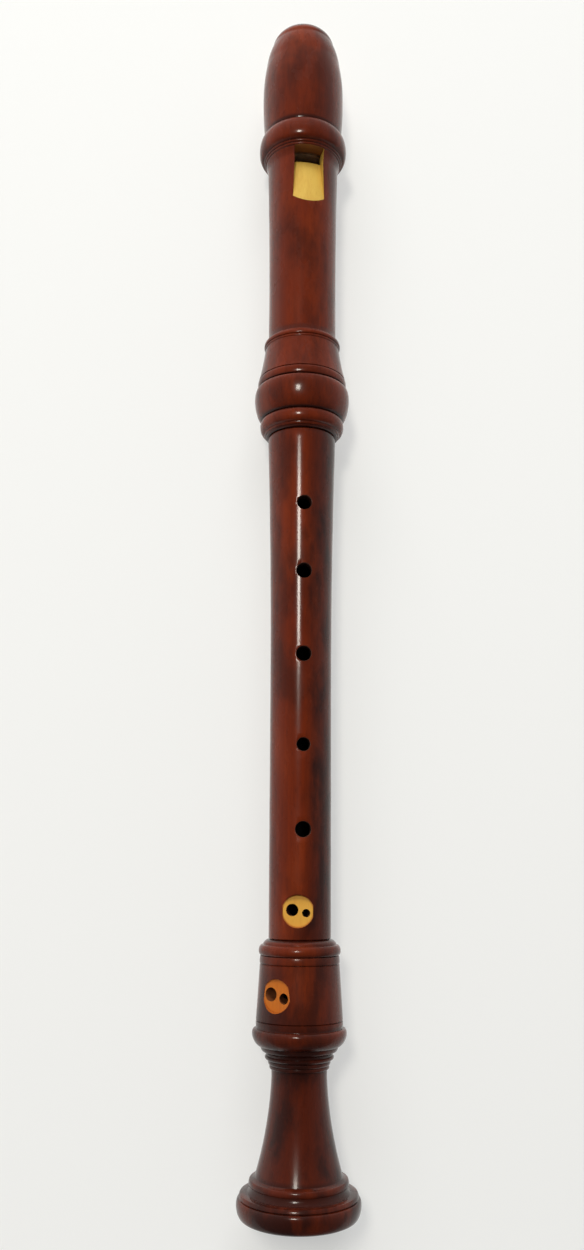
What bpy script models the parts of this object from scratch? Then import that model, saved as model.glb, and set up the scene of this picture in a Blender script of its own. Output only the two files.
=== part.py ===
"""Alto recorder in three turned joints, lying flat with its finger holes up.

+Y runs along the bore towards the beak, +Z is up and +X is to the player's left of the holes.
Stations are distances along the axis from the foot's end, and the origin is under the middle.
"""

import math

import bmesh
import bpy
from mathutils import Matrix, Vector

MM = 0.001

# Clearances and facets
FIT_GAP = 0.3 * MM
CORK_GAP = 0.2 * MM
SIDES = 36
HOLE_SIDES = 16

# Walls of the two tenons and the cork lapped on them
CORK = 1.2 * MM
TENON_WALL = 1.3 * MM
UPPER_TENON = 26.7 * MM
LOWER_TENON = 15.5 * MM
CORK_INSET = 4.0 * MM
SHOULDER = 1.7 * MM

# Radii of the air column
HEAD_BORE = 9.8 * MM
MIDDLE_BORE_TOP = 9.3 * MM
MIDDLE_BORE_END = 6.9 * MM
FOOT_BORE_TOP = 6.6 * MM
FOOT_BORE_END = 6.1 * MM

# Radii at the middle of the turned beads, and the flat end of the bell
BELL_BEAD = 22.6 * MM
BELL_FACE = 19.8 * MM
FOOT_BEAD = 17.4 * MM
SOCKET_BEAD = 17.45 * MM
SOCKET_BULGE = 19.7 * MM
HEAD_BEAD = 19.25 * MM
BEAK_SWELL = 17.9 * MM

# Lengths of the plain turned stretches
BELL_FLARE = 34.0 * MM
FOOT_CUP = 19.6 * MM
BULGE = 14.0 * MM
CONE = 13.9 * MM
HEAD_TUBE = 77.4 * MM
BEAK_BODY = 46.5 * MM

# Single finger holes from the head down: distance below the joint or hole above, and diameter
FINGER_HOLES = (
    (31.9 * MM, 5.7 * MM),
    (28.1 * MM, 5.9 * MM),
    (33.3 * MM, 5.8 * MM),
    (35.3 * MM, 5.05 * MM),
    (31.9 * MM, 5.8 * MM),
)
THUMB_BELOW_JOINT = 16.0 * MM
THUMB_HOLE = 5.8 * MM
PAIR_BELOW_HOLES = 29.8 * MM
PAIR_ABOVE_FOOT = 10.7 * MM

# Pairs of small holes, each in a flat cut through the stain: angle, shift along the axis, diameter
PAIR_FLAT = 12.0 * MM
PAIR_FLAT_WIDTH = 11.3 * MM
MIDDLE_PAIR_TURN = -9.4
MIDDLE_PAIR = ((-21.0, 0.4 * MM, 4.45 * MM), (7.0, -0.7 * MM, 2.9 * MM))
FOOT_PAIR_TURN = -40.0
FOOT_PAIR = ((-50.0, 0.4 * MM, 4.9 * MM), (-28.0, -0.8 * MM, 3.8 * MM))
PAIR_BELOW_SOCKET = 3.3 * MM

# Voicing: windway, window, labium and ramp, turned a little from the line of the finger holes
HEAD_TURN = 5.5
WINDWAY_WIDTH = 11.6 * MM
WINDWAY_ROOF = 0.55 * MM
WINDWAY_FLOOR = 0.75 * MM
WINDOW_LENGTH = 4.6 * MM
WINDOW_FLARE = 1.3 * MM
WINDOW_EASE = 0.2 * MM
LABIUM = 0.4 * MM
LABIUM_CROWN = 22.0 * MM
FLOOR_CROWN = 16.0 * MM
RAMP_LENGTH = 21.4 * MM
RAMP_SPREAD = 1.1 * MM
BEAK_HOLLOW = 70.0 * MM
BEAK_TIP_HEIGHT = 1.0 * MM
VOICING_DEPTH = 5.0 * MM

STAINED_WOOD = ("stained_wood", (0.13, 0.025, 0.012), 0.32)
DARK_STAINED_WOOD = ("dark_stained_wood", (0.075, 0.02, 0.012), 0.34)
CEDAR_WOOD = ("cedar_wood", (0.23, 0.10, 0.045), 0.7)
CORK_SHEET = ("cork_sheet", (0.42, 0.25, 0.12), 0.85)


class Outline:
    """A turned outline, drawn from the foot's end towards the beak as (radius, station)."""

    def __init__(self, radius, station):
        self.points = [(radius, station)]
        self.marks = {}

    @property
    def station(self):
        return self.points[-1][1]

    @property
    def radius(self):
        return self.points[-1][0]

    def mark(self, name):
        self.marks[name] = self.station
        return self

    def line(self, length, radius):
        """A straight cut over length mm to a radius in metres."""
        self.points.append((radius, self.station + length * MM))
        return self

    def step(self, length, rise):
        """A straight cut over length mm that rises by rise mm."""
        return self.line(length, self.radius + rise * MM)

    def curve(self, length, radius, bow, steps):
        """A slow curve to a radius, bowed out by bow mm at its middle, or in where bow is negative."""
        first, start = self.points[-1]
        for step in range(1, steps + 1):
            share = step / steps
            swell = 4 * bow * MM * share * (1 - share)
            self.points.append((first + (radius - first) * share + swell, start + length * MM * share))
        return self

    def bead(self, length, radius, crest, steps):
        """A half-round bead over length mm, ending at a radius, whose middle stands at crest."""
        first, start = self.points[-1]
        height = crest - (first + radius) / 2
        for step in range(1, steps + 1):
            turn = math.pi * step / steps
            share = (1 - math.cos(turn)) / 2
            swell = height * math.sin(turn)
            self.points.append((first + (radius - first) * share + swell, start + length * MM * share))
        return self

    def groove(self, depth):
        """A scribed line half a millimetre wide."""
        return self.step(0.25, -depth).step(0.25, depth)


# Radii that follow from the bore, the walls and the cork
UPPER_CHANNEL = MIDDLE_BORE_TOP + TENON_WALL
UPPER_SOCKET = UPPER_CHANNEL + FIT_GAP + CORK + CORK_GAP
LOWER_CHANNEL = MIDDLE_BORE_END + TENON_WALL + 0.2 * MM
LOWER_SOCKET = LOWER_CHANNEL + FIT_GAP + CORK + CORK_GAP
TUBE_TOP = UPPER_SOCKET + SHOULDER
TUBE_END = LOWER_SOCKET + SHOULDER


def foot_outline():
    """The bell, its flare, the ring group, the bead and the cup that holds the lower socket."""
    cup = TUBE_END + 3.2 * MM
    outline = Outline(BELL_FACE, 0.0)
    outline.line(0.5, BELL_BEAD - 1.7 * MM).bead(6.5, BELL_BEAD - 0.8 * MM, BELL_BEAD, 6)
    outline.groove(0.4).step(1.2, -0.4).step(0.3, -2.5)
    outline.curve(2.2, BELL_BEAD - 4.6 * MM, -0.15, 2)
    outline.bead(2.2, BELL_BEAD - 4.9 * MM, BELL_BEAD - 4.4 * MM, 3)
    outline.step(0.3, -1.1).step(0.3, -0.5)
    neck = FOOT_BEAD - 7.15 * MM
    outline.curve(BELL_FLARE / MM, neck, -1.15, 8).step(2.3, 0.1)
    outline.step(0.2, 0.5).step(1.2, 0.1).step(0.3, 0.3).step(1.3, 0.05)
    outline.bead(1.7, neck + 2.05 * MM, neck + 2.4 * MM, 4)
    outline.curve(1.5, neck + 3.05 * MM, -0.2, 2).step(0.2, 0.6).step(1.6, 0.6)
    outline.bead(6.3, cup + 1.4 * MM, FOOT_BEAD, 7).step(0.2, -0.3).step(2.3, 0.1).groove(0.35)
    outline.line(FOOT_CUP / MM, cup).groove(0.3)
    outline.bead(2.6, cup - 0.2 * MM, cup + 0.05 * MM, 3).step(0.2, -0.3)
    outline.bead(3.8, cup - 0.85 * MM, cup + 0.45 * MM, 5).step(0.15, -0.35)
    return outline.curve(1.65, TUBE_END + 0.5 * MM, 0.35, 3)


FOOT = foot_outline()
FOOT_RIM = FOOT.station
HEAD_RIM = FOOT_RIM + sum(below for below, _ in FINGER_HOLES) + PAIR_BELOW_HOLES + PAIR_ABOVE_FOOT


def head_outline():
    """The socket's bead and bulge, the cone and ring, the plain tube, the bead and the beak."""
    outline = Outline(TUBE_TOP + 0.2 * MM, HEAD_RIM)
    outline.step(0.3, 0.6).step(0.6, 0.2).step(0.15, 0.4).step(0.95, 0.3).step(0.2, 0.4)
    outline.bead(5.4, SOCKET_BEAD - 1.0 * MM, SOCKET_BEAD, 6)
    outline.bead(BULGE / MM, SOCKET_BULGE - 1.4 * MM, SOCKET_BULGE, 9).groove(0.35)
    outline.bead(3.3, SOCKET_BULGE - 1.45 * MM, SOCKET_BULGE - 1.05 * MM, 4).groove(0.35)
    tube = HEAD_BORE + 4.5 * MM
    outline.curve(CONE / MM, tube + 1.3 * MM, -0.2, 4)
    outline.bead(2.8, tube + 1.4 * MM, tube + 1.75 * MM, 4).step(0.25, -1.0)
    outline.curve(4.0, tube - 0.05 * MM, -0.15, 2)
    outline.curve(HEAD_TUBE / MM, tube + 0.95 * MM, -0.3, 7)
    outline.curve(4.0, tube + 1.8 * MM, -0.2, 3).step(0.6, 0.05).mark("window_top")
    outline.step(0.15, 0.3).step(1.0, 0.05).step(0.15, 0.4).step(1.1, 0.1).step(0.2, 0.5)
    outline.bead(10.1, HEAD_BEAD - 2.25 * MM, HEAD_BEAD, 8).step(0.2, -0.3).step(0.9, 0.2)
    body = BEAK_BODY / MM
    outline.curve(0.45 * body, BEAK_SWELL, 0.3, 4)
    outline.curve(0.32 * body, BEAK_SWELL - 1.3 * MM, 0.35, 3)
    outline.curve(0.23 * body, BEAK_SWELL - 4.0 * MM, 0.45, 3)
    return outline.curve(4.3, HEAD_BORE + 1.9 * MM, 0.5, 3).line(0.5, HEAD_BORE + 0.8 * MM)


HEAD = head_outline()
TIP = HEAD.station
WINDOW_TOP = HEAD.marks["window_top"]
LABIUM_EDGE = WINDOW_TOP - WINDOW_LENGTH
AXIS_HEIGHT = max(radius for radius, _ in FOOT.points) * math.cos(math.pi / SIDES)


def place(turn=0.0):
    """The matrix that takes (across, station, height over the axis) into the part's frame."""
    return Matrix.Translation((0, -TIP / 2, AXIS_HEIGHT)) @ Matrix.Rotation(math.radians(turn), 4, "Y")


def material(finish):
    name, colour, roughness = finish
    made = bpy.data.materials.get(name)
    if made is None:
        made = bpy.data.materials.new(name)
        made.use_nodes = True
        shader = made.node_tree.nodes["Principled BSDF"]
        shader.inputs["Base Color"].default_value = (*colour, 1)
        shader.inputs["Roughness"].default_value = roughness
    return made


def object_of(name, mesh_maker, turn=0.0):
    """An object on the recorder's axis, whose mesh is drawn as (across, station, height)."""
    mesh = bpy.data.meshes.new(name)
    mesh_maker.to_mesh(mesh)
    mesh_maker.free()
    made = bpy.data.objects.new(name, mesh)
    made.matrix_world = place(turn)
    bpy.context.scene.collection.objects.link(made)
    return made


def finish_node(made, finish):
    made.data.materials.append(material(finish))
    made.data.shade_smooth()
    made.data.set_sharp_from_angle(angle=math.radians(35))
    return made


def turned(name, points, finish):
    """A ring of (radius, station) points spun round the axis, with a flat facet underneath."""
    maker = bmesh.new()
    half_facet = Matrix.Rotation(math.pi / SIDES, 3, "Y")
    verts = [maker.verts.new(half_facet @ Vector((radius, station, 0))) for radius, station in points]
    edges = [maker.edges.new((one, verts[index - 1])) for index, one in enumerate(verts)]
    bmesh.ops.spin(
        maker,
        geom=verts + edges,
        cent=(0, 0, 0),
        axis=(0, 1, 0),
        angle=2 * math.pi,
        steps=SIDES,
        use_merge=True,
    )
    bmesh.ops.remove_doubles(maker, verts=maker.verts, dist=0.001 * MM)
    bmesh.ops.recalc_face_normals(maker, faces=maker.faces)
    return finish_node(object_of(name, maker), finish)


def lofted(name, sections, turn):
    """A solid through sections of equal count, each a station and its (across, height) points."""
    maker = bmesh.new()
    rings = []
    for station, points in sections:
        verts = [maker.verts.new((across, station, height)) for across, height in points]
        face = maker.faces.new(verts)
        rings.append(list(face.edges))
    for first, second in zip(rings, rings[1:]):
        bmesh.ops.bridge_loops(maker, edges=first + second)
    bmesh.ops.recalc_face_normals(maker, faces=maker.faces)
    return object_of(name, maker, turn)


def cylinder(name, radius, length, matrix, sides, turn=0.0):
    """A closed cylinder about its own Z, set by a matrix in the recorder's frame."""
    maker = bmesh.new()
    bmesh.ops.create_cone(
        maker, cap_ends=True, segments=sides, radius1=radius, radius2=radius, depth=length, matrix=matrix
    )
    return object_of(name, maker, turn)


def drill(name, station, turn, diameter, bottom, top, sides=HOLE_SIDES):
    """A cylinder that points out from the axis, from one height over it to another."""
    middle = Matrix.Translation((0, station, (bottom + top) / 2))
    return cylinder(name, diameter / 2, top - bottom, middle, sides, turn)


def cut(made, cutter):
    cutter.hide_render = True
    cutter.display_type = "WIRE"
    boolean = made.modifiers.new(cutter.name, "BOOLEAN")
    boolean.operation = "DIFFERENCE"
    boolean.solver = "EXACT"
    boolean.object = cutter


def crowned(half_width, crown, height, steps=6):
    """Points of an arc across the bore, left to right, with its crest at a height."""
    arc = math.asin(half_width / crown)
    turns = [arc * (2 * step / steps - 1) for step in range(steps + 1)]
    return [(crown * math.sin(turn), height - crown * (1 - math.cos(turn))) for turn in turns]


def radius_at(outline, station):
    """The outline's radius at a station."""
    for (first, start), (second, end) in zip(outline.points, outline.points[1:]):
        if start <= station <= end:
            return first + (second - first) * (station - start) / (end - start)
    return outline.points[-1][0]


def cut_pair(made, name, station, turn, holes, surface):
    """A flat cut through the stain, and its two small holes down to the bore."""
    flat = math.sqrt(surface**2 - (PAIR_FLAT_WIDTH / 2) ** 2)
    over = surface + 3 * MM
    cut(made, drill(name + "_flat", station, turn, PAIR_FLAT, flat, over, 2 * HOLE_SIDES))
    for index, (hole_turn, shift, diameter) in enumerate(holes):
        cut(made, drill(f"{name}_hole_{index + 1}", station + shift, hole_turn, diameter, 0, over))


def foot_joint():
    socket_end = FOOT_RIM - LOWER_TENON - FIT_GAP
    inside = [
        (LOWER_SOCKET, FOOT_RIM),
        (LOWER_SOCKET, socket_end),
        (FOOT_BORE_TOP, socket_end),
        (FOOT_BORE_END, 0.0),
    ]
    made = turned("foot_joint", FOOT.points + inside, DARK_STAINED_WOOD)
    station = socket_end - PAIR_BELOW_SOCKET
    cut_pair(made, "foot_pair", station, FOOT_PAIR_TURN, FOOT_PAIR, radius_at(FOOT, station))


def tube_outline():
    """The middle joint between its shoulders: nearly straight below, then swelling to the head."""
    start = FOOT_RIM + FIT_GAP
    length = (HEAD_RIM - FIT_GAP - start) / MM
    outline = Outline(TUBE_END, start).line(0.52 * length, TUBE_END + 0.3 * MM)
    return outline.curve(0.48 * length, TUBE_TOP, -0.35, 6)


def middle_joint():
    tube = tube_outline()
    low, high = FOOT_RIM - LOWER_TENON, HEAD_RIM + UPPER_TENON
    lower_tenon, upper_tenon = LOWER_SOCKET - FIT_GAP, UPPER_SOCKET - FIT_GAP
    below = [
        (MIDDLE_BORE_END, low),
        (lower_tenon, low),
        (lower_tenon, low + CORK_INSET),
        (LOWER_CHANNEL, low + CORK_INSET),
        (LOWER_CHANNEL, FOOT_RIM - CORK_INSET),
        (lower_tenon, FOOT_RIM - CORK_INSET),
        (lower_tenon, tube.points[0][1]),
    ]
    above = [
        (upper_tenon, tube.station),
        (upper_tenon, HEAD_RIM + CORK_INSET),
        (UPPER_CHANNEL, HEAD_RIM + CORK_INSET),
        (UPPER_CHANNEL, high - CORK_INSET),
        (upper_tenon, high - CORK_INSET),
        (upper_tenon, high),
        (MIDDLE_BORE_TOP, high),
    ]
    made = turned("middle_joint", below + tube.points + above, STAINED_WOOD)
    station = HEAD_RIM
    for index, (spacing, diameter) in enumerate(FINGER_HOLES):
        station -= spacing
        over = TUBE_TOP + 3 * MM
        cut(made, drill(f"finger_hole_{index + 1}", station, 0, diameter, 0, over))
    station -= PAIR_BELOW_HOLES
    cut_pair(made, "middle_pair", station, MIDDLE_PAIR_TURN, MIDDLE_PAIR, radius_at(tube, station))
    thumb = HEAD_RIM - THUMB_BELOW_JOINT
    cut(made, drill("thumb_hole", thumb, 180, THUMB_HOLE, 0, TUBE_TOP + 3 * MM))


def cork_ring(name, channel, low, high):
    """The sheet of cork lapped round a tenon, lying in its channel."""
    inner, outer = channel + FIT_GAP, channel + FIT_GAP + CORK
    low, high = low + CORK_INSET + FIT_GAP, high - CORK_INSET - FIT_GAP
    return turned(name, [(inner, low), (outer, low), (outer, high), (inner, high)], CORK_SHEET)


def beak_cutter(name):
    """The wide cylinder that hollows the back of the beak, level with the axis at the tip."""
    middle = Matrix.Translation((0, TIP, BEAK_TIP_HEIGHT - BEAK_HOLLOW))
    width = 3 * BEAK_SWELL
    return cylinder(name, BEAK_HOLLOW, width, middle @ Matrix.Rotation(math.pi / 2, 4, "Y"), 72, HEAD_TURN)


def window_cutter(over):
    """The opening between the windway's end and the labium, its side walls leaning outwards."""
    half = WINDWAY_WIDTH / 2 + WINDOW_EASE
    low = HEAD_BORE - VOICING_DEPTH
    profile = [
        (-half, low),
        (half, low),
        (half, HEAD_BORE),
        (half + WINDOW_FLARE, over),
        (-half - WINDOW_FLARE, over),
        (-half, HEAD_BORE),
    ]
    return lofted("window_cutter", [(LABIUM_EDGE, profile), (WINDOW_TOP, profile)], HEAD_TURN)


def ramp_cutter(over):
    """The sloping cut behind the labium, crowned across and running out on the tube."""
    edge = HEAD_BORE + LABIUM
    run_out = LABIUM_EDGE - RAMP_LENGTH
    slope = (radius_at(HEAD, run_out) - edge) / RAMP_LENGTH
    sections = []
    for station in (run_out - 4 * MM, WINDOW_TOP - WINDOW_LENGTH / 2):
        share = (LABIUM_EDGE - station) / RAMP_LENGTH
        half = WINDWAY_WIDTH / 2 + RAMP_SPREAD * share
        floor = crowned(half, LABIUM_CROWN, edge + slope * (LABIUM_EDGE - station))
        wide = half + WINDOW_FLARE * (1 - share / 2)
        sections.append((station, floor + [(wide, over), (-wide, over)]))
    return lofted("ramp_cutter", sections, HEAD_TURN)


def head_joint():
    socket_end = HEAD_RIM + UPPER_TENON + FIT_GAP
    inside = [
        (HEAD_BORE, TIP),
        (HEAD_BORE, socket_end),
        (UPPER_SOCKET, socket_end),
        (UPPER_SOCKET, HEAD_RIM),
    ]
    made = turned("head_joint", HEAD.points + inside, STAINED_WOOD)
    over = HEAD_BEAD + 2 * MM
    half = WINDWAY_WIDTH / 2
    low = HEAD_BORE - VOICING_DEPTH
    roof = crowned(half, LABIUM_CROWN, HEAD_BORE + WINDWAY_ROOF) + [(half, low), (-half, low)]
    ends = (WINDOW_TOP - WINDOW_LENGTH / 2, TIP + 2 * MM)
    cut(made, lofted("windway_cutter", [(station, roof) for station in ends], HEAD_TURN))
    cut(made, window_cutter(over))
    cut(made, ramp_cutter(over))
    cut(made, beak_cutter("beak_cutter"))


def block():
    """The cedar plug that floors the windway, planed on top and cut to the beak behind."""
    radius = HEAD_BORE - FIT_GAP
    length = TIP - WINDOW_TOP
    middle = Matrix.Translation((0, WINDOW_TOP + length / 2, 0)) @ Matrix.Rotation(math.pi / 2, 4, "X")
    made = finish_node(cylinder("block", radius, length, middle, SIDES, HEAD_TURN), CEDAR_WOOD)
    wide, over = radius + MM, radius + 2 * MM
    floor = crowned(wide, FLOOR_CROWN, HEAD_BORE - WINDWAY_FLOOR, 8) + [(wide, over), (-wide, over)]
    ends = (WINDOW_TOP - MM, TIP + MM)
    cut(made, lofted("floor_cutter", [(station, floor) for station in ends], HEAD_TURN))
    cut(made, beak_cutter("block_beak_cutter"))


def main():
    for old in list(bpy.data.objects):
        bpy.data.objects.remove(old)
    foot_joint()
    middle_joint()
    head_joint()
    block()
    cork_ring("upper_cork", UPPER_CHANNEL, HEAD_RIM, HEAD_RIM + UPPER_TENON)
    cork_ring("lower_cork", LOWER_CHANNEL, FOOT_RIM - LOWER_TENON, FOOT_RIM)
    print("stations in mm:", [round(s / MM, 2) for s in (FOOT_RIM, HEAD_RIM, WINDOW_TOP, TIP)])


main()
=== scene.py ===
"""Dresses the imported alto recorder: stained and polished wood, bare cuts, cedar, cork and a white table.

Stations are distances along the axis from the foot's end, and all the turned pieces share that axis.
"""

import math

import bmesh
import bpy
from mathutils import Matrix, Vector


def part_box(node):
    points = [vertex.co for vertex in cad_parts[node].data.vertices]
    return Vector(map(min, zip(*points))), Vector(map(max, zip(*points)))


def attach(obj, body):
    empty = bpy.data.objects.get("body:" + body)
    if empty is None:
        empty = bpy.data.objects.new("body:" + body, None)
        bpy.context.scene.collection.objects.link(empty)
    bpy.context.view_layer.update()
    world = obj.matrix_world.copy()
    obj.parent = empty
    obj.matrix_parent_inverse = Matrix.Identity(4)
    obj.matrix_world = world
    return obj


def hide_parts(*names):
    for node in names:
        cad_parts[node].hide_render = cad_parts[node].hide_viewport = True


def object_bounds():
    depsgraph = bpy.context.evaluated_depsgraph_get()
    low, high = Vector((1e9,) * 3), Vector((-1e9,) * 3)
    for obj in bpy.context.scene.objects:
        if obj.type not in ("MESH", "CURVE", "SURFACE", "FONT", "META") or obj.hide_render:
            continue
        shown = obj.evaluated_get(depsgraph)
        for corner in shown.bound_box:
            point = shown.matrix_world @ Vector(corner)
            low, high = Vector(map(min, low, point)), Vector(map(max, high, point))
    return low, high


bl_info = {
    "name": "Alto Recorder Finish",
    "version": (1, 0, 0),
    "blender": (4, 5, 0),
    "location": "View3D > Sidebar > Recorder",
    "description": "Turned, voiced and polished pieces of an alto recorder in three joints",
    "category": "Object",
}

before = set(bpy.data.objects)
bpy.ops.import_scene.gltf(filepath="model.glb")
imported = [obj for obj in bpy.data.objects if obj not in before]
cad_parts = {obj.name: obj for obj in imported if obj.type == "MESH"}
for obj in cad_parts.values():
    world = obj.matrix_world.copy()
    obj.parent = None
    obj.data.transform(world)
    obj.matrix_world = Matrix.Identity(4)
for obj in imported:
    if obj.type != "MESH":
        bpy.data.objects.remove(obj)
CAD_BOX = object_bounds()

MM = 0.001
LOW, HIGH = Vector(CAD_BOX[0]), Vector(CAD_BOX[1])
TIP = HIGH.y - LOW.y
AXIS_HEIGHT = (LOW.z + HIGH.z) / 2
FOOT_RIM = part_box("foot_joint")[1].y - LOW.y
HEAD_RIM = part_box("head_joint")[0].y - LOW.y
LOW_TENON_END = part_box("middle_joint")[0].y - LOW.y
TOP_TENON_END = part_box("middle_joint")[1].y - LOW.y
JOINT_LINE = 0.3 * MM

# Vertices nearer than this are one, and edges sharper than this, in degrees, stay crisp
SEAM = 0.0005 * MM
CRISP = 32.0

# The second colours of each wood and of the cork
BORE_DARK = (0.02, 0.007, 0.004)
# Painted shade: the finger holes' walls are darker than the foot's drilled walls, for the shade inside them
FINGER_HOLE_SHADE = (0.05, 0.016, 0.008)
FOOT_WALL_DARK = (0.05, 0.015, 0.006)
WINDWAY_DARK = (0.06, 0.02, 0.008)
WINDOW_WALL = (0.26, 0.10, 0.033)
HONEY_GRAIN = (0.60, 0.28, 0.035)
# Painted shade: the foot flat's grain is darker and redder than the middle flat's, for a flat turned from
# the light
SHADED_AMBER_GRAIN = (0.40, 0.10, 0.012)
CEDAR_GRAIN = (0.26, 0.13, 0.065)
CORK_PALE = (0.55, 0.36, 0.19)
CORK_FLECK = (0.13, 0.06, 0.025)

# The table meets the bell's bead at one station and is higher under the head's bead, a span away
BELL_REST = 3.5 * MM
HEAD_LIFT = 3.3 * MM
REST_SPAN = 429.5 * MM

# Sizes of the soft lights in metres, and their turns from overhead in degrees
CEILING_SIZE, CEILING_TURNS = (0.22, 0.28), (-14, -14)
WINDOW_SIZE, WINDOW_TURNS = (2.0, 1.0), (-14, -56)


def length(name, description, default):
    return bpy.props.FloatProperty(
        name=name, description=description, default=default, subtype="DISTANCE", unit="LENGTH"
    )


def colour(name, description, default):
    return bpy.props.FloatVectorProperty(
        name=name, description=description, default=default, size=3, min=0, max=1, subtype="COLOR"
    )


def factor(name, description, default):
    return bpy.props.FloatProperty(
        name=name, description=description, default=default, min=0, max=1, subtype="FACTOR"
    )


def angle(name, description, degrees):
    return bpy.props.FloatProperty(
        name=name, description=description, default=math.radians(degrees), subtype="ANGLE"
    )


def count(name, description, default):
    return bpy.props.IntProperty(name=name, description=description, default=default, min=8, max=256)


class RecorderTurning(bpy.types.PropertyGroup):
    """Sizes of the turned shapes and their bores."""

    facets: count("Facets", "Steps of each turned shape round its axis", 160)
    hole_facets: count("Hole facets", "Steps round each finger hole", 40)
    head_bore: length("Head bore", "Radius of the head's bore", 9.8 * MM)
    middle_bore_top: length("Middle bore top", "Bore radius at the upper tenon", 9.3 * MM)
    middle_bore_end: length("Middle bore end", "Bore radius at the lower tenon", 6.9 * MM)
    foot_bore_top: length("Foot bore top", "Bore radius under the foot's socket", 6.6 * MM)
    foot_bore_end: length("Foot bore end", "Bore radius at the bell", 6.1 * MM)
    cork: length("Cork", "Thickness of the cork lapped on each tenon", 1.2 * MM)
    tenon_wall: length("Tenon wall", "Wood between the bore and the cork's channel", 1.3 * MM)
    cork_inset: length("Cork inset", "Distance from the tenon's ends to the cork", 4.0 * MM)


class RecorderVoicing(bpy.types.PropertyGroup):
    """Sizes of the windway, window, labium and ramp."""

    turn: angle("Turn", "Turn of the window from the line of the finger holes", 5.5)
    width: length("Windway width", "Width of the windway", 11.6 * MM)
    roof: length("Roof height", "Height of the windway's roof over the bore", 0.55 * MM)
    floor: length("Floor depth", "Depth of the block's planed top under the bore", 0.75 * MM)
    window: length("Window length", "Distance from the windway's end to the labium", 4.6 * MM)
    flare: length("Window flare", "Lean of the window's side walls", 1.3 * MM)
    labium: length("Labium", "Thickness of the labium's edge", 0.4 * MM)
    crown: length("Labium crown", "Radius of the arch across the labium", 22.0 * MM)
    ramp: length("Ramp length", "Length of the slope behind the labium", 21.4 * MM)
    spread: length("Ramp spread", "How much wider each side of the ramp gets", 1.1 * MM)
    beak_hollow: length("Beak hollow", "Radius of the hollow cut under the beak", 70.0 * MM)
    beak_tip: length("Beak tip", "Height of the beak's lower lip over the axis", 1.0 * MM)


class RecorderFinish(bpy.types.PropertyGroup):
    """Colours and gloss of the woods and the cork."""

    stain: colour("Stain", "Colour of the stained wood", (0.135, 0.0165, 0.0030))
    stain_deep: colour("Deep stain", "Colour where the stain lies thick", (0.026, 0.0052, 0.0030))
    stain_rubbed: colour("Rubbed stain", "Colour where polishing thinned the stain", (0.25, 0.036, 0.0052))
    bare: colour("Bare wood", "Colour of the ramp cut through the stain", (0.60, 0.395, 0.075))
    bare_grain: colour("Bare grain", "Colour of the fine grain in the bare wood", (0.50, 0.29, 0.045))
    honey: colour("Flat", "Colour of the flat round the middle joint's double hole", (0.62, 0.33, 0.045))
    # Painted shade: the same bare wood as the middle joint's flat, darker and redder because this flat turns
    # away from the light
    shaded_amber: colour("Foot flat", "Colour of the flat round the foot's double hole", (0.50, 0.14, 0.012))
    rim: colour("Cut rim", "Colour where a cut leaves the stain", (0.33, 0.085, 0.012))
    bore: colour("Bore", "Colour of the oiled bore", (0.06, 0.02, 0.009))
    hole_wall: colour("Hole wall", "Colour of the drilled walls", (0.16, 0.05, 0.016))
    cedar: colour("Cedar", "Colour of the block", (0.72, 0.46, 0.29))
    cork: colour("Cork", "Colour of the cork lapping", (0.42, 0.25, 0.12))
    gloss: factor("Roughness", "Roughness of the polish", 0.24)
    bare_roughness: factor("Bare roughness", "Roughness of the bare wood", 0.5)


class RecorderStage(bpy.types.PropertyGroup):
    """The camera, the white table and the lights."""

    camera_station: length("Camera station", "Where along the recorder the camera stands", 125.5 * MM)
    camera_height: length("Camera height", "Height of the camera over the axis", 417.5 * MM)
    camera_side: length("Camera side", "How far the camera stands beside the axis", 3.1 * MM)
    camera_tilt: angle("Camera tilt", "Tilt of the camera towards the beak", 12.45)
    camera_roll: angle("Camera roll", "Swing of the camera round the recorder's axis", 5.0)
    camera_yaw: angle("Camera yaw", "Turn of the camera in the plane of the picture", 0.33)
    lens: bpy.props.FloatProperty(
        name="Lens", description="Focal length on a 36 mm sensor", default=30.58, unit="CAMERA"
    )
    table: colour("Table", "Colour of the white table", (0.90, 0.905, 0.89))
    sky: bpy.props.FloatProperty(name="Sky", description="Strength of the light overhead", default=0.10)
    horizon: bpy.props.FloatProperty(
        name="Horizon", description="How much stronger the light is at the horizon", default=0.55
    )
    lamp: bpy.props.FloatProperty(
        name="Lamp", description="Power of the ceiling lamp", default=9.5, unit="POWER"
    )
    window: bpy.props.FloatProperty(
        name="Window", description="Power of the soft light beyond the beak", default=44.0, unit="POWER"
    )
    lamp_colour: colour("Lamp colour", "Colour of the ceiling lamp", (1.0, 0.955, 0.86))
    lamp_distance: length("Lamp distance", "Distance of the lamp from the recorder", 1.5)
    window_distance: length("Window distance", "Distance of the soft light from the recorder", 2.2)
    soft_shadow: factor("Soft shadow", "Share of plain white that lifts the shadow on the table", 0.5)


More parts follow.
